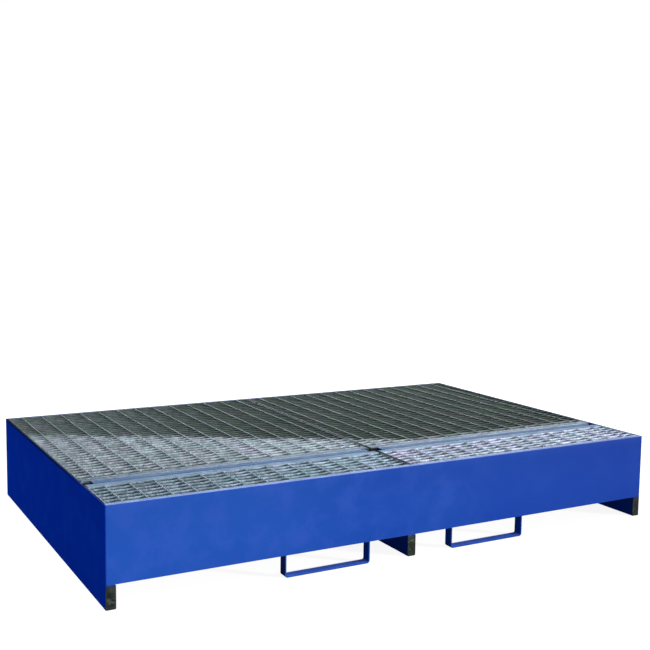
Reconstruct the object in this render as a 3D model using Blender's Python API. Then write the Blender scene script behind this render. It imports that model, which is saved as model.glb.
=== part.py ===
"""Steel spill containment pallet for two bulk containers: a painted sump on three feet, with fork
guide loops under its long edges, inner beams, and four galvanised gratings that lift off.

Metres, +Z up. The origin is the centre of the footprint on the ground. +X runs to the right along
the front, and +Y runs from the front to the back.
"""

import math

import bmesh
import bpy
from mathutils import Vector

# Overall size
LENGTH = 2.700
DEPTH = 1.730
HEIGHT = 0.400
FOOT_HEIGHT = 0.095
GAP = 0.0003  # between neighbours that are welded together or rest on each other

# Sump sheet
SHEET = 0.003
RIM = 0.020  # width of the rim folded in along the front and the back
BEND = 0.0035  # radius of a bend, on the middle of the sheet
BEND_STEPS = 3

# Feet
FOOT_WIDTH = 0.040
FOOT_WALL = 0.003
FOOT_PLATE = 0.004
FOOT_CORNER = 0.005

# Fork guide loops
GUIDE_X = 0.410  # centre of a loop from the middle of the pallet
GUIDE_WIDTH = 0.400
GUIDE_BAR = 0.006
GUIDE_BAR_WIDTH = 0.044
GUIDE_BEND = 0.010
GUIDE_CLEARANCE = 0.001  # under the loop
GUIDE_SETBACK = 0.002  # behind the wall's face

# Gratings
GRATING_HEIGHT = 0.030
BAR = 0.003
BEARING_PITCH = 0.0415
ROD_PITCH = 0.100
TIE_EVERY = 4  # only every fourth cross rod is solid here
SIDE_CLEARANCE = 0.006
RIM_CLEARANCE = 0.003
STRIP_CLEARANCE = 0.004
MIDDLE_CLEARANCE = 0.005

# Beams, ledges and posts
STRIP_Y = -0.533
STRIP_WIDTH = 0.044
STRIP_SHEET = 0.003
STRIP_WALL_STOP = 0.045
STRIP_MIDDLE_STOP = 0.036
BEAM_WIDTH = 0.080
BEAM_DEPTH = 0.080
BEAM_SHEET = 0.004
LEDGE_SHEET = 0.004
LEDGE_DROP = 0.030
RIM_LEDGE = 0.045
SIDE_LEDGE = 0.035
SEAT_SHEET = 0.006
SEAT_REACH = 0.060
SEAT_DROP = 0.080
SEAT_LENGTH = 0.110
POST_WIDTH = 0.060
POST_WALL = 0.003
POST_CORNER = 0.006
POST_REAR_Y = 0.250
HEAD_PLATE = 0.006
HEAD_PLATE_LONG = 0.220
HEAD_PLATE_SHORT = 0.110
BASE_PLATE = 0.006
BASE_PLATE_SIDE = 0.120

# Levels and faces that follow from them
HALF_LENGTH = LENGTH / 2
HALF_DEPTH = DEPTH / 2
INNER_X = HALF_LENGTH - SHEET
INNER_Y = HALF_DEPTH - SHEET
FLOOR_TOP = FOOT_HEIGHT + GAP + SHEET
SUPPORT_TOP = HEIGHT - GRATING_HEIGHT - GAP
BEAM_BOTTOM = SUPPORT_TOP - BEAM_DEPTH
SIDES = {"left": -1, "right": 1}
ENDS = {"front": -1, "rear": 1}


def clear_scene():
    for obj in list(bpy.data.objects):
        bpy.data.objects.remove(obj, do_unlink=True)


def make_material(name, colour, roughness, metallic):
    material = bpy.data.materials.new(name)
    material.use_nodes = True
    shader = material.node_tree.nodes["Principled BSDF"]
    shader.inputs["Base Color"].default_value = (*colour, 1)
    shader.inputs["Roughness"].default_value = roughness
    shader.inputs["Metallic"].default_value = metallic
    return material


def add_object(name, bm, location, material):
    """Puts a finished bmesh in the scene, with all its faces pointing out."""
    bmesh.ops.recalc_face_normals(bm, faces=bm.faces)
    mesh = bpy.data.meshes.new(name)
    bm.to_mesh(mesh)
    bm.free()
    mesh.materials.append(material)
    obj = bpy.data.objects.new(name, mesh)
    obj.location = location
    bpy.context.scene.collection.objects.link(obj)
    return obj


def across(along, u, v, distance):
    """A point of a section (u to the side, v up), this far along the X, Y or Z axis."""
    return {"X": (distance, u, v), "Y": (u, distance, v), "Z": (u, v, distance)}[along]


def add_plate(name, size, location, material):
    """A flat plate or sheet, its origin in its middle."""
    bm = bmesh.new()
    bmesh.ops.create_cube(bm, size=1)
    bmesh.ops.scale(bm, vec=size, verts=bm.verts)
    return add_object(name, bm, location, material)


def add_bar(name, outline, along, length, location, material):
    """A bar with this outline as its section, its origin half way along it."""
    bm = bmesh.new()
    ring = [bm.verts.new(across(along, u, v, -length / 2)) for u, v in outline]
    grown = bmesh.ops.extrude_face_region(bm, geom=[bm.faces.new(ring)])
    moved = [part for part in grown["geom"] if isinstance(part, bmesh.types.BMVert)]
    bmesh.ops.translate(bm, vec=across(along, 0, 0, length), verts=moved)
    return add_object(name, bm, location, material)


def rounded_rectangle(width, height, radius):
    """Corner arcs of a rectangle about the origin, counter-clockwise."""
    points = []
    for turn, (side, end) in enumerate(((1, 1), (-1, 1), (-1, -1), (1, -1))):
        for step in range(BEND_STEPS + 1):
            angle = math.pi / 2 * (turn + step / BEND_STEPS)
            u = side * (width / 2 - radius) + radius * math.cos(angle)
            v = end * (height / 2 - radius) + radius * math.sin(angle)
            points.append((u, v))
    return points


def add_tube(name, width, height, wall, corner, along, length, location, material):
    """A rectangular tube, open at both ends, its origin in its middle."""
    outer = rounded_rectangle(width, height, corner)
    inner = rounded_rectangle(width - 2 * wall, height - 2 * wall, corner - wall)
    bm = bmesh.new()
    rings = [
        [bm.verts.new(across(along, u, v, end * length / 2)) for u, v in section]
        for section, end in ((outer, -1), (outer, 1), (inner, 1), (inner, -1))
    ]
    count = len(outer)
    for first, second in zip(rings, rings[1:] + rings[:1]):
        for i in range(count):
            j = (i + 1) % count
            bm.faces.new((first[i], first[j], second[j], second[i]))
    tube = add_object(name, bm, location, material)
    tube.data.shade_smooth()
    tube.data.set_sharp_from_angle(angle=math.radians(35))
    return tube


def with_bends(corners, radius):
    """The path through these corners, with an arc in place of each inner one."""
    path = [Vector(corners[0])]
    for before, corner, after in zip(corners, corners[1:], corners[2:]):
        corner = Vector(corner)
        back = (Vector(before) - corner).normalized()
        ahead = (Vector(after) - corner).normalized()
        half_angle = back.angle(ahead) / 2
        centre = corner + (back + ahead).normalized() * radius / math.sin(half_angle)
        reach = radius / math.tan(half_angle)
        start = corner + back * reach - centre
        end = corner + ahead * reach - centre
        turns = [start.slerp(end, i / BEND_STEPS) for i in range(BEND_STEPS + 1)]
        path += [centre + radius * turn for turn in turns]
    return path + [Vector(corners[-1])]


def sheet_section(corners, thickness, radius=BEND):
    """Section of a folded sheet whose middle follows these corners."""
    path = with_bends(corners, radius)
    runs = [(after - before).normalized() for before, after in zip(path, path[1:])]
    one_side = []
    other_side = []
    for point, arriving, leaving in zip(path, runs[:1] + runs, runs + runs[-1:]):
        tangent = (arriving + leaving).normalized()
        offset = Vector((-tangent.y, tangent.x)) * thickness / 2 / tangent.dot(arriving)
        one_side.append(point + offset)
        other_side.append(point - offset)
    return one_side + other_side[::-1]


def add_sump(paint):
    floor_size = (2 * INNER_X - 2 * GAP, 2 * INNER_Y - 2 * GAP, SHEET)
    add_plate("sump_floor", floor_size, (0, 0, FLOOR_TOP - SHEET / 2), paint)
    for side, sign in SIDES.items():
        x = sign * (HALF_LENGTH - SHEET / 2)
        add_plate(f"{side}_wall", (SHEET, DEPTH, HEIGHT), (x, 0, HEIGHT / 2), paint)
    for end, sign in ENDS.items():
        face = sign * (HALF_DEPTH - SHEET / 2)
        top = HEIGHT - SHEET / 2
        corners = [(face, FOOT_HEIGHT), (face, top), (sign * (HALF_DEPTH - RIM), top)]
        section = sheet_section(corners, SHEET)
        add_bar(f"{end}_wall", section, "X", 2 * INNER_X - 2 * GAP, (0, 0, 0), paint)


def add_feet(paint, bare_steel):
    outer_width = FOOT_WIDTH - SHEET - GAP  # the end wall covers the outer feet
    outer_x = HALF_LENGTH - FOOT_WIDTH + outer_width / 2
    spots = {
        "left": (-outer_x, outer_width),
        "middle": (0, FOOT_WIDTH),
        "right": (outer_x, outer_width),
    }
    length = DEPTH - 2 * FOOT_PLATE - 2 * GAP
    for spot, (x, width) in spots.items():
        place = (x, 0, FOOT_HEIGHT / 2)
        add_tube(f"foot_{spot}", width, FOOT_HEIGHT, FOOT_WALL, FOOT_CORNER, "Y", length, place, paint)
        plate = rounded_rectangle(width, FOOT_HEIGHT, FOOT_CORNER)
        for end, sign in ENDS.items():
            y = sign * (HALF_DEPTH - FOOT_PLATE / 2)
            name = f"foot_{spot}_{end}_plate"
            add_bar(name, plate, "Y", FOOT_PLATE, (x, y, FOOT_HEIGHT / 2), bare_steel)


def add_fork_guides(paint):
    """U-shaped loops of flat bar that hang from the sump's underside."""
    half = GUIDE_WIDTH / 2 - GUIDE_BAR / 2
    low = GUIDE_CLEARANCE + GUIDE_BAR / 2
    corners = [(-half, FOOT_HEIGHT), (-half, low), (half, low), (half, FOOT_HEIGHT)]
    section = sheet_section(corners, GUIDE_BAR, GUIDE_BEND)
    for end, depth_sign in ENDS.items():
        y = depth_sign * (HALF_DEPTH - GUIDE_SETBACK - GUIDE_BAR_WIDTH / 2)
        for side, sign in SIDES.items():
            place = (sign * GUIDE_X, y, 0)
            add_bar(f"fork_guide_{end}_{side}", section, "Y", GUIDE_BAR_WIDTH, place, paint)


def ledge_section(reach, sign):
    """Angle bar on a wall: one leg down the wall, one reaching in under a grating."""
    wall = sign * LEDGE_SHEET / 2
    top = -LEDGE_SHEET / 2
    return sheet_section([(wall, -LEDGE_DROP), (wall, top), (sign * reach, top)], LEDGE_SHEET)


def add_ledges(paint):
    inner_end = BEAM_WIDTH / 2 + GAP
    outer_end = INNER_X - SIDE_LEDGE - 2 * GAP
    for end, sign in ENDS.items():
        section = ledge_section(RIM_LEDGE, -sign)
        y = sign * (INNER_Y - GAP)
        for side, side_sign in SIDES.items():
            x = side_sign * (inner_end + outer_end) / 2
            length = outer_end - inner_end
            add_bar(f"{end}_ledge_{side}", section, "X", length, (x, y, SUPPORT_TOP), paint)
    beam_edges = (STRIP_Y - BEAM_WIDTH / 2 - GAP, STRIP_Y + BEAM_WIDTH / 2 + GAP)
    runs = {"front": (-INNER_Y + GAP, beam_edges[0]), "rear": (beam_edges[1], INNER_Y - GAP)}
    for side, sign in SIDES.items():
        section = ledge_section(SIDE_LEDGE, -sign)
        x = sign * (INNER_X - GAP)
        for end, (start, stop) in runs.items():
            place = (x, (start + stop) / 2, SUPPORT_TOP)
            add_bar(f"{side}_ledge_{end}", section, "Y", stop - start, place, paint)


def channel_section(width, depth, sheet):
    """Folded channel that is open at the bottom, with its top face at 0."""
    half = width / 2 - sheet / 2
    top = -sheet / 2
    return sheet_section([(-half, -depth), (-half, top), (half, top), (half, -depth)], sheet)


def add_beams(paint):
    channel = channel_section(BEAM_WIDTH, BEAM_DEPTH, BEAM_SHEET)
    add_bar("centre_beam", channel, "Y", 2 * INNER_Y - 2 * GAP, (0, 0, SUPPORT_TOP), paint)
    inner_end = BEAM_WIDTH / 2 + GAP
    outer_end = INNER_X - GAP
    strip = channel_section(STRIP_WIDTH, GRATING_HEIGHT, STRIP_SHEET)
    strip_start = inner_end - BEAM_WIDTH / 2 + STRIP_MIDDLE_STOP
    strip_stop = INNER_X - STRIP_WALL_STOP
    for side, sign in SIDES.items():
        beam_place = (sign * (inner_end + outer_end) / 2, STRIP_Y, SUPPORT_TOP)
        add_bar(f"cross_beam_{side}", channel, "X", outer_end - inner_end, beam_place, paint)
        strip_place = (sign * (strip_start + strip_stop) / 2, STRIP_Y, HEIGHT)
        length = strip_stop - strip_start
        add_bar(f"cover_strip_{side}", strip, "X", length, strip_place, paint)
        wall = -sign * SEAT_SHEET / 2
        seat_corners = [(wall, -SEAT_DROP), (wall, -SEAT_SHEET / 2), (-sign * SEAT_REACH, -SEAT_SHEET / 2)]
        seat = sheet_section(seat_corners, SEAT_SHEET)
        seat_place = (sign * (INNER_X - GAP), STRIP_Y, BEAM_BOTTOM - GAP)
        add_bar(f"cross_beam_seat_{side}", seat, "Y", SEAT_LENGTH, seat_place, paint)


def add_posts(paint):
    post_bottom = FLOOR_TOP + 2 * GAP + BASE_PLATE
    post_top = BEAM_BOTTOM - 2 * GAP - HEAD_PLATE
    middle = (post_bottom + post_top) / 2
    heads = {"front": (STRIP_Y, HEAD_PLATE_LONG), "rear": (POST_REAR_Y, HEAD_PLATE_SHORT)}
    for end, (y, head_length) in heads.items():
        height = post_top - post_bottom
        post = (POST_WIDTH, POST_WIDTH, POST_WALL, POST_CORNER)
        add_tube(f"post_{end}", *post, "Z", height, (0, y, middle), paint)
        head = (head_length, BEAM_WIDTH, HEAD_PLATE)
        add_plate(f"post_{end}_head", head, (0, y, BEAM_BOTTOM - GAP - HEAD_PLATE / 2), paint)
        base = (BASE_PLATE_SIDE, BASE_PLATE_SIDE, BASE_PLATE)
        add_plate(f"post_{end}_base", base, (0, y, FLOOR_TOP + GAP + BASE_PLATE / 2), paint)


def evenly(first, last, count):
    return [first + (last - first) * i / (count - 1) for i in range(count)]


def edges_of(centres):
    """Both faces of each bar, in order."""
    return [centre + side * BAR / 2 for centre in centres for side in (-1, 1)]


def add_grating(name, length, depth, location, material):
    """Bearing bars along X inside two end bars and a few cross bars, its origin in the middle of
    its underside, which is where it lifts from."""
    spaces = round((depth - BAR) / BEARING_PITCH)
    bars = evenly(-(depth - BAR) / 2, (depth - BAR) / 2, spaces + 1)
    rods = math.floor((length - 2 * BAR) / ROD_PITCH)
    first_rod = -(rods - 1) * ROD_PITCH / 2
    ties = [first_rod + i * ROD_PITCH for i in range(TIE_EVERY, rods - 1, TIE_EVERY)]
    end_bar = (length - BAR) / 2
    xs = edges_of([-end_bar, *ties, end_bar])
    ys = edges_of(bars)
    bm = bmesh.new()
    grid = [[bm.verts.new((x, y, 0)) for y in ys] for x in xs]
    for i in range(len(xs) - 1):
        for j in range(len(ys) - 1):
            if i % 2 == 0 or j % 2 == 0:  # an odd column and an odd row meet in an open mesh
                bm.faces.new((grid[i][j], grid[i + 1][j], grid[i + 1][j + 1], grid[i][j + 1]))
    grown = bmesh.ops.extrude_face_region(bm, geom=bm.faces[:])
    top = [part for part in grown["geom"] if isinstance(part, bmesh.types.BMVert)]
    bmesh.ops.translate(bm, vec=(0, 0, GRATING_HEIGHT), verts=top)
    return add_object(name, bm, location, material)


def add_gratings(galvanised):
    length = INNER_X - SIDE_CLEARANCE - MIDDLE_CLEARANCE
    strip_edge = STRIP_WIDTH / 2 + STRIP_CLEARANCE
    rim_edge = HALF_DEPTH - RIM - RIM_CLEARANCE
    rows = {"front": (-rim_edge, STRIP_Y - strip_edge), "rear": (STRIP_Y + strip_edge, rim_edge)}
    for side, sign in SIDES.items():
        x = sign * (MIDDLE_CLEARANCE + length / 2)
        for end, (start, stop) in rows.items():
            place = (x, (start + stop) / 2, HEIGHT - GRATING_HEIGHT)
            add_grating(f"grating_{end}_{side}", length, stop - start, place, galvanised)


def main():
    clear_scene()
    paint = make_material("blue_paint", (0.022, 0.084, 0.470), 0.38, 0.0)
    galvanised = make_material("galvanised_steel", (0.46, 0.49, 0.50), 0.42, 0.85)
    bare_steel = make_material("bare_steel", (0.070, 0.078, 0.070), 0.55, 0.6)
    add_sump(paint)
    add_feet(paint, bare_steel)
    add_fork_guides(paint)
    add_ledges(paint)
    add_beams(paint)
    add_posts(paint)
    add_gratings(galvanised)


main()
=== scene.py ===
"""Looks of the spill containment pallet: painted sheet, galvanised gratings, welds, floor and light.

Everything is in metres in the frame of the CAD model: +X right along the front, +Y to the back,
+Z up, with the origin at the centre of the footprint on the ground.
"""

import math
import random

import bmesh
import bpy
from mathutils import Matrix, Vector, noise


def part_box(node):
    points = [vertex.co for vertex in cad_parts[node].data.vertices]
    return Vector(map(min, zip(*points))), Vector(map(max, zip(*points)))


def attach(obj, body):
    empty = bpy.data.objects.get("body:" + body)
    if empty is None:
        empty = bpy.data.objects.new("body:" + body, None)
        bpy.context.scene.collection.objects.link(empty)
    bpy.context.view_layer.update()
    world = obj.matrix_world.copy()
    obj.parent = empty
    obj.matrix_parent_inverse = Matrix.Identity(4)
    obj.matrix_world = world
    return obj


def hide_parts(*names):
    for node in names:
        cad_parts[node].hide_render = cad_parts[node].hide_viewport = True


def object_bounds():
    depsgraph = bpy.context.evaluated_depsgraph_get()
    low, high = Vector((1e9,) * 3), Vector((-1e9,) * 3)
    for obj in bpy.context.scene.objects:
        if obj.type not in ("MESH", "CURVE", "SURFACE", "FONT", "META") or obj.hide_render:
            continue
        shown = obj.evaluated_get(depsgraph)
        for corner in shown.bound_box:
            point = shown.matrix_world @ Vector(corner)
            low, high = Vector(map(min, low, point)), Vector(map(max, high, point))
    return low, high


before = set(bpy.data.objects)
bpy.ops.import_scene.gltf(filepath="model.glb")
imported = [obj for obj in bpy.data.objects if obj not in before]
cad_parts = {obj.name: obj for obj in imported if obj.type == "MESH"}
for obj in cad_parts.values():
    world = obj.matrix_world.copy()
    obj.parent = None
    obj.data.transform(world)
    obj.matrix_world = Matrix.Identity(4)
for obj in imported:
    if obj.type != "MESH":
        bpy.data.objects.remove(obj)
cad_low, cad_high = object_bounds()
strip_low, strip_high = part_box("cover_strip_left")

# Painted sheet and bar
SHEET = 0.003
EDGE = 0.0006  # chamfer on a cut edge
BEND = 0.0035  # radius of a fold, to the middle of the sheet
BEND_STEPS = 8
WALL_SPACING = 0.030  # between mesh lines on a wall
STRIP_SPACING = 0.050  # between mesh lines on a cover strip or fork guide
WAVE = 0.0007  # how far a wall strays from flat
WAVE_MARGIN = 0.08  # over which the waves fade out towards the edges
GUIDE_BAR = 0.006
GUIDE_BEND = 0.010
PROUD = 0.0008  # how far an end plate of a foot stands out from the wall
PLATE_CORNER = 0.005
PLATE_CHAMFER = 0.0010
SMOOTH_ANGLE = math.radians(32)  # folds sharper than this show as edges

# Gratings
BAR = 0.003
BAND = 0.005  # bar round the edge of a grating
BAR_INSET = 0.0035  # from the grating's end to where a bar starts, inside the band
BAR_SPACING = 0.060  # between mesh lines along a bar
BAR_CORNER = 0.0006
BEARING_PITCH = 0.0415
EDGING = {"front": 0.042, "rear": 0.032}  # flats along the edges that face the cover strip
EDGING_INSET = 0.0015
ROD_PITCH = 0.100
ROD_SIDE = 0.0055
ROD_TWIST = 0.080  # length of one full turn of a twisted rod
ROD_STEP = 0.004
ROD_DEPTH = 0.0034  # from the grating's top to the middle of a rod
ROD_INSET = 0.0006  # from the side of a grating to the end of a rod
ROD_OVERLAP = 0.002  # how far a rod reaches under a flat
BULGE = (0.0062, 0.0042, 0.0032)  # half the size of the metal round a crossing, along X, Y and Z
END_WELD = (0.004, 0.022)  # down from the grating's top to where an end weld starts and stops
HAIR = 0.0002  # keeps faces that meet out of one plane

# Welds
WELD_LEG = 0.004
STRIP_WELD_LEG = 0.003
WELD_SINK = 0.0004  # how deep a bead starts inside the metal
WELD_STEP = 0.0009
WELD_RIPPLE = 0.0026
WELD_TAPER = 0.005  # at each end of a bead
STITCH = 0.055
STITCH_PITCH = 0.28  # under the side ledges

# Places where the weathering, painted shade and painted light change; painted shade fades in from the first
# value of a pair to the second
END = 1.3  # X near either end of the gratings
STRIP_Y = (strip_low.y + strip_high.y) / 2
STRIP_REACH = (strip_high.y - strip_low.y) / 2 + 0.052  # to where the strip's paint dust ends
GAP_SIDE = (0.040, 0.030)  # from the strip's middle to the sides of the gaps at its ends
INNER_GAP = (0.052, 0.042)  # from the middle of the pallet along X
OUTER_GAP = (1.285, 1.297)
SEAM = (0.0112, 0.0096)  # from the middle of the pallet to the ends of the gratings
SEAM_FRONT = (-0.30, -0.42)  # Y
RIM_LINE = (0.0105, 0.0070)  # down from the top edge of a wall
# Painted shade: below this range the front of a bar is painted darker
BAR_FRONT = (0.3865, 0.3975)  # Z over which the front of a bar gets lighter
BORDER = (0.484, 0.875)  # direction across the border between lit zinc and the painted shadow

# Studio
FLOOR_REACH = 60.0
FLOOR_GLOW = 0.88  # near the pallet, for the camera
DOME_STRENGTH = 0.40
CAMERA_PLACE = (-2.3946, -4.3942, 1.4695)
CAMERA_ANGLES = (28.941, -6.303, 0.794)  # to the right, upwards and anticlockwise, in degrees
CAMERA_LENS = 56.08

rng = random.Random(11)


# Mesh helpers


class Shells:
    """Closed shells that become one object."""

    def __init__(self):
        self.points = []
        self.faces = []

    def sweep(self, rings):
        """Joins rings of equally many points, and closes both ends."""
        start = len(self.points)
        count = len(rings[0])
        for ring in rings:
            self.points.extend(ring)
        for r in range(len(rings) - 1):
            low = start + r * count
            for i in range(count):
                j = (i + 1) % count
                self.faces.append((low + i, low + j, low + count + j, low + count + i))
        last = start + (len(rings) - 1) * count
        self.faces.append(tuple(range(start + count - 1, start - 1, -1)))
        self.faces.append(tuple(range(last, last + count)))

    def make(self, name, body, material, slot, *nodes):
        """Makes the object, which rides on this body and takes the place of these CAD nodes."""
        mesh = bpy.data.meshes.new(name)
        mesh.from_pydata([tuple(point) for point in self.points], [], self.faces)
        bm = bmesh.new()
        bm.from_mesh(mesh)
        bmesh.ops.recalc_face_normals(bm, faces=bm.faces)
        bm.to_mesh(mesh)
        bm.free()
        mesh.materials.append(material)
        mesh.shade_smooth()
        mesh.set_sharp_from_angle(angle=SMOOTH_ANGLE)
        piece = bpy.data.objects.new(name, mesh)
        bpy.context.scene.collection.objects.link(piece)
        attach(piece, body)
        if nodes:
            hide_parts(*nodes)


def steps_between(start, stop, spacing):
    """Even steps from start to stop, no further apart than spacing."""
    count = max(1, math.ceil(abs(stop - start) / spacing))
    return [start + (stop - start) * i / count for i in range(count + 1)]


def with_bends(corners, radius):
    """The path through these corners, with an arc in place of each inner one."""
    path = [Vector(corners[0])]
    for before, corner, after in zip(corners, corners[1:], corners[2:]):
        corner = Vector(corner)
        back = (Vector(before) - corner).normalized()
        ahead = (Vector(after) - corner).normalized()
        half_angle = back.angle(ahead) / 2
        centre = corner + (back + ahead).normalized() * radius / math.sin(half_angle)
        reach = radius / math.tan(half_angle)
        start = corner + back * reach - centre
        end = corner + ahead * reach - centre
        turns = [start.slerp(end, i / BEND_STEPS) for i in range(BEND_STEPS + 1)]
        path += [centre + radius * turn for turn in turns]
    return path + [Vector(corners[-1])]


def subdivided(path, spacing):
    """The same path with more points on its long straight runs."""
    finer = [path[0]]
    for before, after in zip(path, path[1:]):
        shares = steps_between(0, 1, spacing / max((after - before).length, 1e-9))
        finer += [before.lerp(after, share) for share in shares[1:]]
    return finer


def sheet_ring(path, thickness, inset=0.0):
    """Section of a sheet that follows this path, with chamfered edges, this much smaller all round."""
    half = thickness / 2 - inset
    runs = [(after - before).normalized() for before, after in zip(path, path[1:])]
    sides = []
    for point, arriving, leaving in zip(path, runs[:1] + runs, runs + runs[-1:]):
        tangent = (arriving + leaving).normalized()
        across = Vector((-tangent.y, tangent.x)) / tangent.dot(arriving)
        sides.append((point, across, tangent))
    first, last = sides[0], sides[-1]
    ring = [first[0] + first[2] * inset + side * first[1] * (half - EDGE) for side in (-1, 1)]
    ring.append(first[0] + first[2] * (inset + EDGE) + first[1] * half)
    ring += [point + across * half for point, across, _ in sides[1:-1]]
    ring.append(last[0] - last[2] * (inset + EDGE) + last[1] * half)
    ring += [last[0] - last[2] * inset + side * last[1] * (half - EDGE) for side in (1, -1)]
    ring.append(last[0] - last[2] * (inset + EDGE) - last[1] * half)
    ring += [point - across * half for point, across, _ in sides[-2:0:-1]]
    ring.append(first[0] + first[2] * (inset + EDGE) - first[1] * half)
    return ring


def at(along, point, distance):
    """A section point (u to the side, v up), this far along the X or Y axis."""
    return Vector((distance, *point)) if along == "X" else Vector((point[0], distance, point[1]))


def folded_rings(path, thickness, along, start, stop, spacing, shift=None):
    """Rings of a folded sheet or flat bar along an axis, with chamfered ends."""
    places = [start, *steps_between(start + EDGE, stop - EDGE, spacing), stop]
    rings = []
    for number, place in enumerate(places):
        inset = EDGE if number in (0, len(places) - 1) else 0.0
        ring = [at(along, point, place) for point in sheet_ring(path, thickness, inset)]
        rings.append([shift(point) for point in ring] if shift else ring)
    return rings


def folded_piece(name, corners, thickness, radius, along, start, stop, look, node, spacing, shift=None):
    """A sheet or bar of the sump that is folded at its corners, in place of a CAD node."""
    path = subdivided(with_bends(corners, radius), spacing)
    shells = Shells()
    shells.sweep(folded_rings(path, thickness, along, start, stop, spacing, shift))
    shells.make(name, "sump", *look, node)


# Material helpers


class Look:
    """A node material, built around its Principled shader."""

    def __init__(self, name):
        self.material = bpy.data.materials.new(name)
        self.material.use_nodes = True
        self.tree = self.material.node_tree
        self.shader = self.tree.nodes["Principled BSDF"]
        self.place = self.add("TexCoord").outputs["Object"]
        self.x, self.y, self.z = self.add("SeparateXYZ", Vector=self.place).outputs
        self.normal = self.add("NewGeometry").outputs["Normal"]

    def add(self, kind, settings=(), **inputs):
        made = self.tree.nodes.new("ShaderNode" + kind)
        for key, value in dict(settings).items():
            setattr(made, key, value)
        for key, value in inputs.items():
            self.set(made.inputs[key.replace("_", " ")], value)
        return made

    def set(self, socket, value):
        if isinstance(value, bpy.types.NodeSocket):
            self.tree.links.new(value, socket)
        else:
            socket.default_value = value

    def principled(self, **inputs):
        for key, value in inputs.items():
            self.set(self.shader.inputs[key.replace("_", " ")], value)
        return self.material

    def stretched(self, x, y, z):
        """Place on the object, scaled by these amounts along its axes."""
        return self.add("Mapping", Vector=self.place, Scale=(x, y, z)).outputs["Vector"]

    def noise(self, scale, detail=3.0, rough=0.55, vector=None):
        made = self.add("TexNoise", Vector=vector or self.place, Scale=scale, Detail=detail, Roughness=rough)
        return made.outputs["Fac"]

    def remap(self, value, low, high, to_low=0.0, to_high=1.0):
        """Runs smoothly from to_low to to_high as the value goes from low to high."""
        made = self.add("MapRange", {"interpolation_type": "SMOOTHSTEP"}, Value=value)
        for key, number in (("From Min", low), ("From Max", high), ("To Min", to_low), ("To Max", to_high)):
            made.inputs[key].default_value = number
        return made.outputs["Result"]

    def math(self, operation, a, b=0.0):
        made = self.add("Math", {"operation": operation})
        self.set(made.inputs[0], a)
        self.set(made.inputs[1], b)
        return made.outputs["Value"]

    def product(self, first, *others):
        for other in others:
            first = self.math("MULTIPLY", first, other)
        return first

    def mix(self, share, a, b, blend="MIX"):
        made = self.add("Mix", {"data_type": "RGBA", "blend_type": blend})
        for number, value in ((0, share), (6, a), (7, b)):
            self.set(made.inputs[number], value)
        return made.outputs[2]

    def tinted(self, colour, tint):
        return self.mix(1.0, colour, tint, "MULTIPLY")

    def lit(self, colour, factor):
        """The colour made lighter or darker by a factor."""
        return self.tinted(colour, self.add("CombineXYZ", X=factor, Y=factor, Z=factor).outputs[0])

    def bump(self, height, distance, strength=1.0, normal=None):
        made = self.add("Bump", Height=height, Distance=distance, Strength=strength)
        if normal is not None:
            self.set(made.inputs["Normal"], normal)
        return made.outputs["Normal"]

    def edges(self, radius):
        """Grows from 0 to 1 within this distance of an outer edge."""
        soft = self.add("Bevel", {"samples": 4}, Radius=radius).outputs["Normal"]
        dot = self.add("VectorMath", {"operation": "DOT_PRODUCT"})
        self.set(dot.inputs[0], self.normal)
        self.set(dot.inputs[1], soft)
        return self.remap(dot.outputs["Value"], 0.99, 0.80)

    def facing_up(self):
        up = self.add("SeparateXYZ", Vector=self.normal).outputs["Z"]
        return self.remap(up, 0.55, 0.95)

    def facing_back(self):
        back = self.add("SeparateXYZ", Vector=self.normal).outputs["Y"]
        return self.remap(back, 0.3, 0.9)


def rgb(red, green, blue):
    return (red, green, blue, 1.0)


# Blue paint


def coat_with_painted_light(look, deep, plain, faded):
    """Painted light: the paint runs from its deep shade at the right end to its plain, lighter shade at the
    left, with chalky, faded patches that also grow towards the left.
    """
    broad = look.remap(look.noise(1.7), 0.30, 0.70, -0.15, 0.15)
    painted_light_share = look.math("ADD", look.remap(look.x, END, -END), broad)
    colour = look.mix(painted_light_share, deep, plain)
    cloudy = look.remap(look.noise(9.0, 5.0, 0.6), 0.42, 0.66, 0.0, 0.60)
    chalky = look.product(cloudy, look.remap(painted_light_share, 0.15, 0.75, 0.10, 1.0))
    return look.mix(chalky, colour, faded)


def handled_coat(look, colour, rub_share):
    """Edges rubbed thin, down to primer and steel in places, and long thin scuffs on the faces."""
    worn = look.remap(look.noise(38.0, 4.0, 0.7), 0.46, 0.64)
    rubbed = look.product(look.edges(0.0012), worn, rub_share)
    colour = look.mix(rubbed, colour, rgb(0.200, 0.260, 0.430))
    scuffs = look.remap(look.noise(3.0, 6.0, 0.75, look.stretched(1.2, 1.2, 60.0)), 0.66, 0.74)
    scuffed = look.product(scuffs, look.remap(look.noise(2.4), 0.52, 0.66), 0.20)
    return look.mix(scuffed, colour, rgb(0.10, 0.16, 0.40))


def painted_shade_line(look, colour, share):
    """Painted shade: a dark line just under the top edge, stronger towards the rear."""
    line = look.remap(look.z, cad_high.z - RIM_LINE[0], cad_high.z - RIM_LINE[1])
    line = look.product(line, look.remap(look.y, -0.75, -0.10, 0.15, 1.0), share)
    return look.mix(line, colour, rgb(0.0008, 0.006, 0.030))


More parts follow.
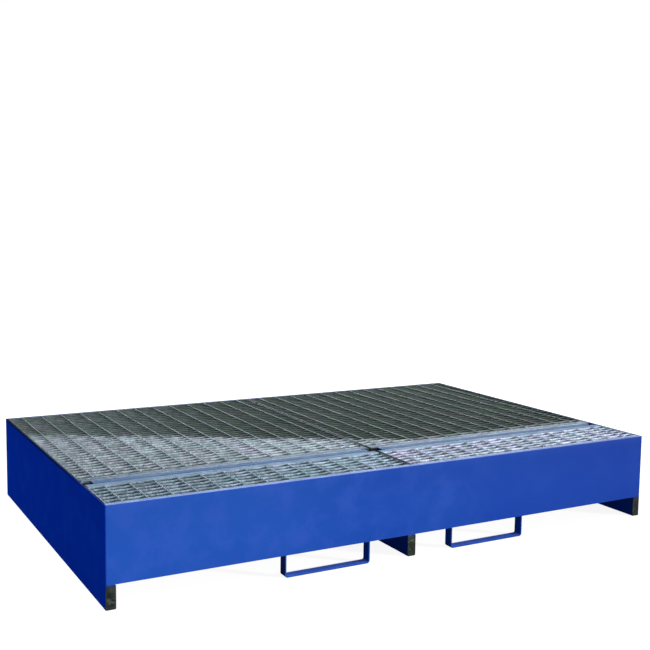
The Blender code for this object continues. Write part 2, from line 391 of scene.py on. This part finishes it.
def blue_paint(name, shades, up_facing_colour, up_facing_share, rub_share, low_up_facing_share=0.25, rim_shade=0.0, gloss=0.07):
    """Paint over steel in deep, plain and faded shades, with its own colour on what faces up: mostly a
    pale dusting with painted sheen, and painted light on the fork guides. The shares say how much of
    what faces up takes that colour, how much of that is left down by the floor, how pale edges are
    rubbed, and how dark a line of painted shade runs along the top edge."""
    look = Look(name)
    colour = handled_coat(look, coat_with_painted_light(look, *shades), rub_share)
    colour = look.lit(colour, look.remap(look.z, 0.18, 0.42, 1.01, 0.90))
    colour = painted_shade_line(look, colour, rim_shade)
    # What faces up takes its own colour, most of all high up: mostly a pale dusting with painted sheen, and
    # painted light on the fork guides
    patches = look.remap(look.noise(16.0, 5.0, 0.65), 0.35, 0.75, 0.65, 1.0)
    up_facing_mask = look.product(look.facing_up(), look.remap(look.z, 0.15, 0.36, low_up_facing_share, 1.0), patches)
    # Painted shade: towards the rear, what faces up turns dark grey-green and covers more of it
    up_facing_colour = look.mix(look.remap(look.y, -0.2, 0.7), up_facing_colour, rgb(0.070, 0.095, 0.085))
    rear_share = look.remap(look.y, 0.2, 0.8, up_facing_share, max(up_facing_share, 0.95))
    colour = look.mix(look.product(up_facing_mask, rear_share), colour, up_facing_colour)
    rough = look.remap(look.noise(22.0, 4.0, 0.6), 0.30, 0.70, 0.40, 0.52)
    rough = look.math("ADD", rough, look.product(up_facing_mask, 0.12))
    peel = look.bump(look.noise(520.0, 2.0, 0.5), 0.00010, 0.55)
    rolled = look.bump(look.noise(26.0, 2.0, 0.5), 0.0010, 0.10, peel)
    return look.principled(Base_Color=colour, Roughness=rough, Normal=rolled, Specular_IOR_Level=gloss)


# Galvanised steel


def zinc_coat(look, spangle, tint, patina, tone):
    """Spangles, grey patina and bright runs, tinted by the grating's tone, a painted light level; painted
    light also makes it darker at the left end and lighter from the middle on.
    """
    cool = look.mix(look.remap(tint, 0.1, 0.9), rgb(0.500, 0.620, 0.640), rgb(0.610, 0.600, 0.730))
    colour = look.mix(look.remap(spangle, 0.05, 0.95, 0.15, 0.85), rgb(0.270, 0.320, 0.350), cool)
    colour = look.mix(patina, colour, rgb(0.240, 0.290, 0.270))
    runs = look.noise(30.0, 4.0, 0.6, look.stretched(0.35, 1.0, 0.25))
    colour = look.mix(look.remap(runs, 0.60, 0.78, 0.0, 0.28), colour, rgb(0.68, 0.72, 0.76))
    return look.lit(look.tinted(colour, tone), look.remap(look.x, -END, -0.05, 0.86, 1.27))


def painted_rear_shadow(look):
    """Painted shadow over the rear: 0 along the front and at the left, and 1 at the rear, with a slanting,
    ragged border between.
    """
    depth = look.math("ADD", look.product(look.x, BORDER[0]), look.product(look.y, BORDER[1]))
    depth = look.math("ADD", depth, look.remap(look.noise(15.0, 5.0, 0.7), 0.2, 0.8, -0.05, 0.05))
    return look.product(look.remap(depth, -0.31, -0.20), look.remap(look.y, -0.50, -0.38))


def shadowed_bar_sides(look, colour, rear_shadow, top):
    """Painted shadow on the sides of the bars, less on the left and where they face the rear."""
    back_face_relief = look.math("SUBTRACT", 1.0, look.product(look.facing_back(), 0.45))
    shadowed = look.product(rear_shadow, back_face_relief, look.math("SUBTRACT", 1.0, top))
    shadowed = look.product(shadowed, look.remap(look.x, -1.35, -0.20, 0.78, 0.97))
    patches = look.remap(look.noise(11.0, 4.0, 0.7), 0.40, 0.60)
    shadow_colour = look.mix(patches, rgb(0.017, 0.040, 0.021), rgb(0.028, 0.036, 0.031))
    return look.mix(shadowed, colour, shadow_colour)


def shaded_uneven_bars(look, colour):
    """Bars are darker further down, as painted shade between them, and each is greenish, pinkish, dark and
    light in dashes.
    """
    colour = look.lit(colour, look.remap(look.z, *BAR_FRONT, 0.53, 1.12))
    tinge = look.remap(look.noise(1.0, 2.0, 0.6, look.stretched(8.0, 40.0, 9.0)), 0.36, 0.64)
    colour = look.tinted(colour, look.mix(tinge, rgb(0.94, 1.02, 0.97), rgb(1.06, 0.98, 1.02)))
    dashes = look.noise(1.0, 3.0, 0.7, look.stretched(13.0, 62.0, 9.0))
    return look.lit(colour, look.remap(dashes, 0.36, 0.64, 0.82, 1.16))


def dusted_flat_lit_in_front(look):
    """Blue paint dusting from the cover strip on the flats beside it, painted lighter in front of the strip
    than behind it.
    """
    patches = look.remap(look.noise(24.0, 4.0, 0.65), 0.38, 0.62)
    flat = look.mix(patches, rgb(0.078, 0.138, 0.236), rgb(0.108, 0.186, 0.312))
    return look.lit(flat, look.remap(look.math("SUBTRACT", look.y, STRIP_Y), -0.03, 0.03, 1.14, 0.88))


def painted_gap_shade(look, from_strip, top):
    """Painted shade in the gaps at the ends of the cover strips, and in the seam between the front gratings.
    """
    from_middle = look.math("ABSOLUTE", look.x)
    open_end = look.math("MAXIMUM", look.remap(from_middle, *INNER_GAP),
                         look.remap(from_middle, *OUTER_GAP, 0.0, 0.45))
    gap = look.product(open_end, look.remap(from_strip, *GAP_SIDE), look.math("SUBTRACT", 1.0, top), 0.93)
    seam = look.product(look.remap(from_middle, *SEAM), look.remap(look.y, *SEAM_FRONT, 0.0, 0.78))
    return look.math("MAXIMUM", gap, seam)


def galvanised(name, tone):
    """Zinc with spangles, patina and weathering, painted shadow over the rear, painted shade low on the bars
    and in the gaps, and painted highlights on the tops; tone is the tint of the sides of its bars, a painted
    light level for each grating.
    """
    look = Look(name)
    wobble = look.add("TexNoise", Vector=look.place, Scale=60.0).outputs["Color"]
    cells = look.add("TexVoronoi", Vector=look.mix(0.06, look.place, wobble), Scale=70.0).outputs["Color"]
    spangle, tint, _ = look.add("SeparateColor", Color=cells).outputs
    patina = look.remap(look.noise(7.0, 5.0, 0.65), 0.42, 0.66, 0.0, 0.30)
    top = look.facing_up()
    rear_shadow = painted_rear_shadow(look)
    colour = zinc_coat(look, spangle, tint, patina, tone)
    colour = shaded_uneven_bars(look, shadowed_bar_sides(look, colour, rear_shadow, top))
    # Tops are painted light: worn bright by shoes, and a painted highlight of the light from above
    bright = look.mix(rear_shadow, rgb(0.450, 0.550, 0.660), rgb(0.400, 0.500, 0.500))
    colour = look.mix(look.product(top, 0.55), colour, bright)
    from_strip = look.math("ABSOLUTE", look.math("SUBTRACT", look.y, STRIP_Y))
    on_flat = look.product(look.remap(from_strip, STRIP_REACH + 0.006, STRIP_REACH), top)
    colour = look.mix(look.product(on_flat, 0.90), colour, dusted_flat_lit_in_front(look))
    colour = look.mix(painted_gap_shade(look, from_strip, top), colour, rgb(0.014, 0.022, 0.026))
    rough = look.remap(spangle, 0.0, 1.0, 0.34, 0.56)
    rough = look.math("ADD", rough, look.product(patina, 0.16))
    rough = look.math("ADD", rough, look.product(on_flat, 0.12))
    metallic = look.math("SUBTRACT", 0.55, look.product(on_flat, 0.50))
    gloss = look.math("SUBTRACT", 0.50, look.product(on_flat, 0.36))
    flow = look.bump(look.noise(140.0, 3.0, 0.6), 0.0004, 0.45)
    normal = look.bump(spangle, 0.00012, 0.35, flow)
    return look.principled(Base_Color=colour, Roughness=rough, Metallic=metallic, Normal=normal,
                           Specular_IOR_Level=gloss)


# Bare steel


def bare_steel():
    """Dark mill steel with rust, pale streaks, rubbed edges and paint overspray at the top."""
    look = Look("bare_mill_steel")
    scale_marks = look.noise(34.0, 6.0, 0.65, look.stretched(1.0, 1.0, 0.55))
    colour = look.mix(look.remap(scale_marks, 0.36, 0.64), rgb(0.009, 0.014, 0.011), rgb(0.036, 0.048, 0.038))
    rust = look.product(look.remap(look.noise(70.0, 5.0, 0.7), 0.60, 0.72), 0.35)
    colour = look.mix(rust, colour, rgb(0.100, 0.052, 0.022))
    streak = look.remap(look.noise(48.0, 4.0, 0.6, look.stretched(0.5, 1.0, 1.6)), 0.56, 0.66, 0.0, 0.60)
    colour = look.mix(streak, colour, rgb(0.105, 0.135, 0.112))
    rubbed = look.product(look.edges(0.0030), look.remap(look.noise(45.0), 0.35, 0.60, 0.25, 0.95))
    colour = look.mix(rubbed, colour, rgb(0.250, 0.265, 0.245))
    overspray = look.remap(look.z, 0.078, 0.092, 0.0, 0.60)
    colour = look.mix(overspray, colour, rgb(0.010, 0.030, 0.150))
    colour = look.lit(colour, look.remap(look.x, 0.3, END, 1.0, 0.50))
    pits = look.bump(look.noise(260.0, 4.0, 0.6), 0.0003, 0.6)
    rough = look.remap(scale_marks, 0.3, 0.7, 0.42, 0.66)
    return look.principled(Base_Color=colour, Roughness=rough, Metallic=0.45, Normal=pits,
                           Specular_IOR_Level=0.25)


# Deep, plain and faded shades of the paint; the painted light runs from deep to plain
SUNNED = (rgb(0.0047, 0.042, 0.330), rgb(0.0112, 0.069, 0.370), rgb(0.0240, 0.076, 0.410))
# A copy of the paint with the shade on the left wall painted in
SHADED = (rgb(0.0008, 0.026, 0.400), rgb(0.0010, 0.030, 0.430), rgb(0.0030, 0.042, 0.440))
# A copy with the shade under the pallet painted in, for the feet
UNLIT = (rgb(0.0008, 0.028, 0.270), rgb(0.0010, 0.032, 0.290), rgb(0.0030, 0.042, 0.300))
# A copy with painted shade, for the sides of the cover strips
STRIP_SIDE_SHADE = (rgb(0.0030, 0.010, 0.040), rgb(0.0040, 0.014, 0.060), rgb(0.0060, 0.020, 0.080))
# A pale dusting with painted sheen, for what faces up
PALE_DUST_AND_SHEEN = rgb(0.43, 0.54, 0.86)
# Painted light, for what faces up on the fork guides
BLUE_PAINTED_LIGHT = rgb(0.094, 0.230, 1.000)
GREY_BLUE_TOP = rgb(0.081, 0.180, 0.365)

# Each look is a material and a slot name
PAINT = (blue_paint("blue_paint_on_steel", SUNNED, PALE_DUST_AND_SHEEN, 0.70, 0.45), "blue_paint")
# The left wall: the shaded copy, with a painted shade line under its top edge
SHADED_SIDE_PAINT = (blue_paint("shaded_side_blue_paint", SHADED, PALE_DUST_AND_SHEEN, 0.10, 0.10, rim_shade=0.90, gloss=0.0),
              "blue_paint")
# The feet: the copy with shade painted in
SHADED_FOOT_PAINT = (blue_paint("shaded_blue_paint", UNLIT, PALE_DUST_AND_SHEEN, 0.10, 0.10), "blue_paint")
# The fork guides: painted light on what faces up
LIT_LOOP_PAINT = (blue_paint("painted_light_blue_paint", SUNNED, BLUE_PAINTED_LIGHT, 1.00, 0.45, low_up_facing_share=1.0), "blue_paint")
# The cover strips: painted shade on their sides and a grey-blue top
SHADED_STRIP_PAINT = (blue_paint("shaded_strip_blue_paint", STRIP_SIDE_SHADE, GREY_BLUE_TOP, 0.94, 0.45), "blue_paint")
STEEL = (bare_steel(), "bare_steel")
# Each grating has its own tone, which paints in how brightly it is lit
ZINC = {
    "grating_front_left": galvanised("zinc_front_left", rgb(0.60, 0.71, 0.78)),
    "grating_front_right": galvanised("zinc_front_right", rgb(0.90, 0.90, 1.02)),
    "grating_rear_left": galvanised("zinc_rear_left", rgb(0.80, 0.83, 0.83)),
    "grating_rear_right": galvanised("zinc_rear_right", rgb(0.84, 0.86, 0.86)),
}


# The sump


def wavy(axis, low, high):
    """Moves points of a large sheet slightly along one axis, fading out towards its edges."""
    others = [i for i in range(3) if i != axis]

    def shift(point):
        fade = 1.0
        for i in others:
            edge = min(point[i] - low[i], high[i] - point[i])
            fade *= min(1.0, max(0.0, edge / WAVE_MARGIN))
        wave = noise.noise(Vector((point.x * 1.9, point.y * 1.9, point.z * 3.1 + 7.0 * axis)))
        moved = Vector(point)
        moved[axis] += WAVE * wave * fade
        return moved

    return shift


def build_end_walls():
    """The long walls, each folded over along its top."""
    for node, sign in (("front_wall", -1), ("rear_wall", 1)):
        low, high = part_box(node)
        face = (low.y if sign < 0 else high.y) - sign * SHEET / 2
        rim = high.y if sign < 0 else low.y
        top = high.z - SHEET / 2
        corners = [(face, low.z), (face, top), (rim, top)]
        folded_piece(node + "_sheet", corners, SHEET, BEND, "X", low.x, high.x, PAINT, node,
                     WALL_SPACING, wavy(1, low, high))


def build_side_walls():
    """The short walls, which are flat. The left one gets a copy of the paint with the shade on that side
    painted in.
    """
    for node, look in (("left_wall", SHADED_SIDE_PAINT), ("right_wall", PAINT)):
        low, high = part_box(node)
        middle = (low.x + high.x) / 2
        folded_piece(node + "_sheet", [(middle, low.z), (middle, high.z)], SHEET, BEND, "Y", low.y, high.y,
                     look, node, WALL_SPACING, wavy(0, low, high))


def build_fork_guides():
    for end in ("front", "rear"):
        for side in ("left", "right"):
            node = f"fork_guide_{end}_{side}"
            low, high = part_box(node)
            half = GUIDE_BAR / 2
            left, right, bottom = low.x + half, high.x - half, low.z + half
            corners = [(left, high.z), (left, bottom), (right, bottom), (right, high.z)]
            folded_piece(node + "_bar", corners, GUIDE_BAR, GUIDE_BEND, "Y", low.y, high.y, LIT_LOOP_PAINT,
                         node, STRIP_SPACING)


def build_cover_strips():
    for side in ("left", "right"):
        node = "cover_strip_" + side
        low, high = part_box(node)
        front, back, top = low.y + SHEET / 2, high.y - SHEET / 2, high.z - SHEET / 2
        corners = [(front, low.z), (front, top), (back, top), (back, low.z)]
        folded_piece(node + "_sheet", corners, SHEET, BEND, "X", low.x, high.x, SHADED_STRIP_PAINT, node,
                     STRIP_SPACING)


def plate_ring(left, right, bottom, top, y, inset):
    """Outline of an end plate with rounded corners, this much smaller all round."""
    ring = []
    corners = ((right, top, -1, -1), (left, top, 1, -1), (left, bottom, 1, 1), (right, bottom, -1, 1))
    for turn, (x, z, inward_x, inward_z) in enumerate(corners):
        for step in range(BEND_STEPS + 1):
            angle = math.pi / 2 * (turn + step / BEND_STEPS)
            radius = PLATE_CORNER - inset
            ring.append(Vector((x + inward_x * PLATE_CORNER + radius * math.cos(angle), y,
                                z + inward_z * PLATE_CORNER + radius * math.sin(angle))))
    return ring


def build_foot_ends():
    """End plates of the feet; the outer ones reach over the cut edges of the side walls."""
    for spot in ("left", "middle", "right"):
        for end in ("front", "rear"):
            node = f"foot_{spot}_{end}_plate"
            low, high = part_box(node)
            left = cad_low.x if spot == "left" else low.x
            right = cad_high.x if spot == "right" else high.x
            front, back = (low.y - PROUD, high.y) if end == "front" else (low.y, high.y + PROUD)
            levels = ((front, PLATE_CHAMFER), (front + PLATE_CHAMFER, 0.0),
                      (back - PLATE_CHAMFER, 0.0), (back, PLATE_CHAMFER))
            shells = Shells()
            shells.sweep([plate_ring(left, right, low.z, high.z, y, inset) for y, inset in levels])
            shells.make(node + "_steel", "sump", *STEEL, node)


def repaint_kept_nodes():
    """The CAD solids that stay: sump floor, feet, ledges, beams, seats and posts; the feet get the copy of
    the paint with shade painted in.
    """
    for name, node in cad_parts.items():
        if not node.hide_render:
            node.data.materials.clear()
            node.data.materials.append((SHADED_FOOT_PAINT if name.startswith("foot") else PAINT)[0])
            node.data.shade_smooth()
            node.data.set_sharp_from_angle(angle=SMOOTH_ANGLE)


# Welds


def weld(shells, start, end, side, up, leg=WELD_LEG):
    """A rippled fillet weld from start to end, in the corner between a face along side and one along up."""
    start, end, side, up = Vector(start), Vector(end), Vector(side), Vector(up)
    length = (end - start).length
    rings = []
    for place in steps_between(0.0, length, WELD_STEP):
        taper = min(1.0, 0.35 + min(place, length - place) / WELD_TAPER)
        ripple = 1.0 + 0.07 * math.sin(2 * math.pi * place / WELD_RIPPLE) + rng.uniform(-0.03, 0.03)
        size = leg * taper * ripple
        middle = start.lerp(end, place / length)
        ring = [middle - side * WELD_SINK - up * WELD_SINK]
        for step in range(6):
            angle = math.pi / 2 * step / 5
            bulge = size * (0.86 + 0.14 * math.sin(2 * angle))
            ring.append(middle + side * (bulge * math.cos(angle)) + up * (bulge * math.sin(angle)))
        rings.append(ring)
    shells.sweep(rings)


def stitches(shells, start, end, side, up, count, leg=WELD_LEG):
    """Short welds spread evenly between two points."""
    start, end = Vector(start), Vector(end)
    run = (end - start).normalized()
    for i in range(count):
        middle = start.lerp(end, (i + 0.5) / count)
        weld(shells, middle - run * STITCH / 2, middle + run * STITCH / 2, side, up, leg)


def build_foot_welds():
    """Stitches under the sump along the feet, except where a foot is flush with a side wall."""
    shells = Shells()
    for spot in ("left", "middle", "right"):
        low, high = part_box("foot_" + spot)
        for x, sign in ((low.x, -1), (high.x, 1)):
            if abs(x) < cad_high.x - 0.01:
                stitches(shells, (x, low.y, high.z), (x, high.y, high.z), (sign, 0, 0), (0, 0, -1), 7)
    shells.make("foot_welds", "sump", *PAINT)


def build_guide_welds():
    """A bead on both sides of each upright of the fork guides."""
    shells = Shells()
    inset = 0.002
    for end in ("front", "rear"):
        for side in ("left", "right"):
            low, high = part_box(f"fork_guide_{end}_{side}")
            front, back = low.y + inset, high.y - inset
            uprights = ((low.x, -1), (low.x + GUIDE_BAR, 1), (high.x - GUIDE_BAR, -1), (high.x, 1))
            for x, sign in uprights:
                weld(shells, (x, front, high.z), (x, back, high.z), (sign, 0, 0), (0, 0, -1))
    shells.make("fork_guide_welds", "sump", *PAINT)


def add_ledge_welds(shells):
    """Stitches under the ledges and the cross beams' seats, where they meet the walls."""
    for end, sign in (("front", 1), ("rear", -1)):
        for side in ("left", "right"):
            low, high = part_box(f"{end}_ledge_{side}")
            wall = low.y if sign > 0 else high.y
            stitches(shells, (low.x, wall, low.z), (high.x, wall, low.z), (0, sign, 0), (0, 0, -1), 5)
    for side, sign in (("left", 1), ("right", -1)):
        for end in ("front", "rear"):
            low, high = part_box(f"{side}_ledge_{end}")
            wall = low.x if sign > 0 else high.x
            count = max(2, round((high.y - low.y) / STITCH_PITCH))
            stitches(shells, (wall, low.y, low.z), (wall, high.y, low.z), (sign, 0, 0), (0, 0, -1), count)
        low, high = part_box(f"cross_beam_seat_{side}")
        wall = low.x if sign > 0 else high.x
        weld(shells, (wall, low.y, low.z), (wall, high.y, low.z), (sign, 0, 0), (0, 0, -1))


def add_post_welds(shells):
    """Beads round the foot and the head of each post, which stop short of its corners."""
    inset = 0.005
    for end in ("front", "rear"):
        low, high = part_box("post_" + end)
        around = (((low.x + inset, low.y), (high.x - inset, low.y), (0, -1, 0)),
                  ((low.x + inset, high.y), (high.x - inset, high.y), (0, 1, 0)),
                  ((low.x, low.y + inset), (low.x, high.y - inset), (-1, 0, 0)),
                  ((high.x, low.y + inset), (high.x, high.y - inset), (1, 0, 0)))
        for z, up in ((low.z, 1), (high.z, -1)):
            for first, second, side in around:
                weld(shells, (*first, z), (*second, z), side, (0, 0, up))


def build_inner_welds():
    shells = Shells()
    add_ledge_welds(shells)
    add_post_welds(shells)
    shells.make("inner_welds", "sump", *PAINT)


def build_beam_welds():
    """Where the cover strips sit on the cross beams, and the cross beams meet the centre beam."""
    shells = Shells()
    for side, sign in (("left", -1), ("right", 1)):
        low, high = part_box("cover_strip_" + side)
        for y, out in ((low.y, -1), (high.y, 1)):
            stitches(shells, (low.x, y, low.z), (high.x, y, low.z), (0, out, 0), (0, 0, 1), 6, STRIP_WELD_LEG)
        low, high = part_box("cross_beam_" + side)
        x = high.x if sign < 0 else low.x
        bottom, top = low.z + 0.004, high.z - 0.006  # clear of the beam's edges
        for y, out in ((low.y, -1), (high.y, 1)):
            weld(shells, (x, y, bottom), (x, y, top), (sign, 0, 0), (0, out, 0))
    shells.make("beam_welds", "sump", *PAINT)


# The gratings


def bar_section(thick, height):
    """A flat bar's section with rolled corners, about its middle."""
    points = []
    for u, v in ((1, 1), (-1, 1), (-1, -1), (1, -1)):
        for du, dv in (((0, 1), (1, 0)) if u * v < 0 else ((1, 0), (0, 1))):
            points.append((u * (thick / 2 - BAR_CORNER * du), v * (height / 2 - BAR_CORNER * dv)))
    return points


def add_flat_bar(shells, along, centre, start, stop, height, thick=BAR):
    """A bearing bar or edge bar, with slight unevenness from the zinc bath."""
    section = bar_section(thick, height)
    rings = []
    for place in steps_between(start, stop, BAR_SPACING):
        swell = 1.0 + rng.uniform(-0.03, 0.0)
        rings.append([at(along, (centre[0] + u * swell, centre[1] + v), place) for u, v in section])
    shells.sweep(rings)


def add_twisted_rod(shells, x, start, stop, z, phase):
    """A square rod with blunt corners, twisted along its length."""
    rings = []
    radius = ROD_SIDE * 0.69  # just inside sharp corners
    blunt = 0.16  # half the angle that a corner takes up
    for place in steps_between(start, stop, ROD_STEP):
        turn = phase + 2 * math.pi * place / ROD_TWIST
        angles = [turn + corner * math.pi / 2 + off for corner in range(4) for off in (-blunt, blunt)]
        rings.append([Vector((x + radius * math.cos(angle), place, z + radius * math.sin(angle)))
                      for angle in angles])
    shells.sweep(rings)


def add_weld_bulge(shells, x, y, z):
    """Metal squeezed up where a rod is forged into a bearing bar."""
    long = BULGE[0] * rng.uniform(0.85, 1.15)
    wide = BULGE[1] * rng.uniform(0.85, 1.15)
    tall = BULGE[2] * rng.uniform(0.9, 1.1)
    turn = rng.uniform(0, math.pi)
    rings = []
    for level in (-0.95, -0.55, 0.0, 0.55, 0.92):
        spread = math.sqrt(1 - level * level)
        ring = []
        for i in range(8):
            angle = turn + 2 * math.pi * i / 8
            ring.append(Vector((x + long * spread * math.cos(angle), y + wide * spread * math.sin(angle),
                                z + tall * level)))
        rings.append(ring)
    shells.sweep(rings)


def add_end_weld(shells, start, end, side, up):
    """A small plain fillet between a bearing bar and the end bar."""
    start, end, side, up = Vector(start), Vector(end), Vector(side), Vector(up)
    rings = []
    for share, size in ((0.0, 0.0012), (0.15, 0.0026), (0.5, 0.0030), (0.85, 0.0024), (1.0, 0.0010)):
        middle = start.lerp(end, share)
        sunk = middle - side * WELD_SINK - up * WELD_SINK
        rings.append([sunk, middle + side * size, middle + (side + up) * size * 0.6, middle + up * size])
    shells.sweep(rings)


def add_bars(shells, low, high, bar_ys):
    """The bearing bars, and the band round them that stands a hair higher."""
    middle_z, height = (low.z + high.z) / 2, high.z - low.z
    start, stop = low.x + BAR_INSET, high.x - BAR_INSET
    for y in bar_ys:
        add_flat_bar(shells, "X", (y, middle_z), start, stop, height - 2 * HAIR)
    for y in (low.y + BAND / 2, high.y - BAND / 2):
        add_flat_bar(shells, "X", (y, middle_z), start, stop, height - HAIR, BAND)
    for x in (low.x + BAND / 2, high.x - BAND / 2):
        add_flat_bar(shells, "Y", (x, middle_z), low.y, high.y, height, BAND)


def add_edging(shells, low, high):
    """The flat beside the cover strip. Returns where the rods start and stop."""
    rod_low, rod_high = low.y + ROD_INSET, high.y - ROD_INSET
    if high.y < 0:
        width = EDGING["front"]
        rod_high -= width - ROD_OVERLAP
        y = high.y - width / 2
    else:
        width = EDGING["rear"]
        rod_low += width - ROD_OVERLAP
        y = low.y + width / 2
    add_flat_bar(shells, "X", (y, high.z - BAR / 2), low.x + EDGING_INSET, high.x - EDGING_INSET, BAR,
                 width - 2 * HAIR)
    return rod_low, rod_high


def build_grating(node):
    low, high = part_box(node)
    reach = high.y - low.y - BAR
    spaces = round(reach / BEARING_PITCH)
    bar_ys = [low.y + BAR / 2 + reach * i / spaces for i in range(1, spaces)]
    rods = math.floor((high.x - low.x - 2 * BAR) / ROD_PITCH)
    first_rod = (low.x + high.x) / 2 - (rods - 1) * ROD_PITCH / 2
    rod_z = high.z - ROD_DEPTH
    shells = Shells()
    add_bars(shells, low, high, bar_ys)
    rod_low, rod_high = add_edging(shells, low, high)
    for x in (first_rod + i * ROD_PITCH for i in range(rods)):
        add_twisted_rod(shells, x, rod_low, rod_high, rod_z, rng.uniform(0, math.pi))
        for y in bar_ys:
            add_weld_bulge(shells, x, y, rod_z - 2 * HAIR)
    for y in bar_ys:
        for x, sign in ((low.x + BAND, 1), (high.x - BAND, -1)):
            start, end = ((x, y + BAR / 2, high.z - below) for below in END_WELD)
            add_end_weld(shells, start, end, (sign, 0, 0), (0, 1, 0))
    shells.make(node + "_panel", node, ZINC[node], "galvanised_steel", node)


# Floor, light and camera


def floor_look():
    """Near white to the camera, and dark beside and behind the pallet in reflections."""
    look = Look("pale_studio_floor")
    link = look.tree.links.new
    grain = look.remap(look.noise(3.0, 4.0), 0.3, 0.7)
    pale = look.add("BsdfDiffuse", Color=look.mix(grain, rgb(0.38, 0.38, 0.38), rgb(0.40, 0.40, 0.40)))
    distance = look.add("VectorMath", {"operation": "LENGTH"})
    look.set(distance.inputs[0], look.place)
    strength = look.remap(distance.outputs["Value"], 1.6, 3.4, FLOOR_GLOW, 1.05)
    glow = look.add("Emission", Color=rgb(1.0, 1.0, 1.0), Strength=strength)
    shown = look.add("AddShader")
    link(pale.outputs[0], shown.inputs[0])
    link(glow.outputs[0], shown.inputs[1])
    ahead = look.remap(look.y, -1.0, -2.2)
    reflected = look.add("BsdfDiffuse", Color=look.mix(ahead, rgb(0.05, 0.05, 0.05), rgb(0.60, 0.61, 0.62)))
    choice = look.add("MixShader", Fac=look.add("LightPath").outputs["Is Camera Ray"])
    link(reflected.outputs[0], choice.inputs[1])
    link(shown.outputs[0], choice.inputs[2])
    link(choice.outputs[0], look.tree.nodes["Material Output"].inputs["Surface"])
    return look.material


def build_floor():
    mesh = bpy.data.meshes.new("studio_floor")
    corners = [(x * FLOOR_REACH, y * FLOOR_REACH, 0) for x, y in ((-1, -1), (1, -1), (1, 1), (-1, 1))]
    mesh.from_pydata(corners, [], [(0, 1, 2, 3)])
    mesh.materials.append(floor_look())
    floor = bpy.data.objects.new("studio_floor", mesh)
    bpy.context.scene.collection.objects.link(floor)


def build_world():
    """White to the camera; for light, a soft dome that is brighter overhead and in front."""
    world = bpy.data.worlds.new("studio")
    bpy.context.scene.world = world
    world.use_nodes = True
    tree = world.node_tree
    tree.nodes.clear()
    place = tree.nodes.new("ShaderNodeTexCoord")
    toward = tree.nodes.new("ShaderNodeVectorMath")
    toward.operation = "DOT_PRODUCT"
    tree.links.new(place.outputs["Generated"], toward.inputs[0])
    toward.inputs[1].default_value = (0.35, -0.55, 0.75)
    ramp = tree.nodes.new("ShaderNodeValToRGB")
    dark, bright = ramp.color_ramp.elements
    dark.color = rgb(0.01, 0.012, 0.02)
    bright.color = rgb(0.92, 0.96, 1.0)
    tree.links.new(toward.outputs["Value"], ramp.inputs["Fac"])
    dome = tree.nodes.new("ShaderNodeBackground")
    dome.inputs["Strength"].default_value = DOME_STRENGTH
    tree.links.new(ramp.outputs["Color"], dome.inputs["Color"])
    backdrop = tree.nodes.new("ShaderNodeBackground")
    backdrop.inputs["Color"].default_value = rgb(1, 1, 1)
    path = tree.nodes.new("ShaderNodeLightPath")
    choice = tree.nodes.new("ShaderNodeMixShader")
    tree.links.new(path.outputs["Is Camera Ray"], choice.inputs["Fac"])
    tree.links.new(dome.outputs[0], choice.inputs[1])
    tree.links.new(backdrop.outputs[0], choice.inputs[2])
    output = tree.nodes.new("ShaderNodeOutputWorld")
    tree.links.new(choice.outputs[0], output.inputs["Surface"])


def add_lamp(name, light, power, colour, towards, place=(0, 0, 0)):
    light.energy = power
    light.color = colour
    lamp = bpy.data.objects.new(name, light)
    lamp.location = place
    lamp.rotation_euler = Vector(towards).to_track_quat("-Z", "Y").to_euler()
    bpy.context.scene.collection.objects.link(lamp)
    return lamp


def add_sun(name, towards, strength, softness, colour):
    """Even light from far away, travelling along this direction."""
    light = bpy.data.lights.new(name, "SUN")
    light.angle = math.radians(softness)
    add_lamp(name, light, strength, colour, towards)


def add_softbox(name, place, target, size, power, colour):
    """A lit panel that the camera doesn't see."""
    light = bpy.data.lights.new(name, "AREA")
    light.shape = "RECTANGLE"
    light.size, light.size_y = size
    towards = Vector(target) - Vector(place)
    add_lamp(name, light, power, colour, towards, place).visible_camera = False


def build_camera():
    """Seen from the front left at standing height."""
    yaw, pitch, roll = (math.radians(angle) for angle in CAMERA_ANGLES)
    ahead = Vector((math.sin(yaw) * math.cos(pitch), math.cos(yaw) * math.cos(pitch), math.sin(pitch)))
    level = ahead.cross(Vector((0, 0, 1))).normalized()
    upright = level.cross(ahead)
    right = level * math.cos(roll) + upright * math.sin(roll)
    up = upright * math.cos(roll) - level * math.sin(roll)
    camera = bpy.data.cameras.new("camera")
    camera.sensor_width = 36.0
    camera.lens = CAMERA_LENS
    camera.clip_end = 200.0
    holder = bpy.data.objects.new("camera", camera)
    turned = Matrix((right, up, -ahead)).transposed().to_4x4()
    holder.matrix_world = Matrix.Translation(CAMERA_PLACE) @ turned
    bpy.context.scene.collection.objects.link(holder)
    bpy.context.scene.camera = holder


build_end_walls()
build_side_walls()
build_fork_guides()
build_cover_strips()
build_foot_ends()
for grating_node in ZINC:
    build_grating(grating_node)
repaint_kept_nodes()
build_foot_welds()
build_guide_welds()
build_inner_welds()
build_beam_welds()

build_floor()
build_world()
add_sun("key_light", (-0.72, 0.67, -0.16), 3.25, 9.0, (1.0, 0.99, 0.97))
add_softbox("front_fill", (-1.6, -6.0, 1.4), (-0.6, -0.8, 0.25), (2.4, 0.8), 110, (1.0, 0.99, 0.97))
add_softbox("left_fill", (-6.0, 1.8, 3.4), (-1.3, 0.0, 0.2), (2.4, 2.0), 170, (0.92, 0.96, 1.0))
add_softbox("top_light", (0.0, -0.4, 3.6), (0.0, 0.0, 0.4), (3.6, 2.6), 60, (0.96, 0.98, 1.0))
add_softbox("back_card", (3.4, 5.6, 1.9), (0.0, 0.0, 0.3), (6.0, 2.4), 230, (0.92, 0.96, 1.0))
build_camera()
bpy.context.scene.view_settings.view_transform = "Standard"
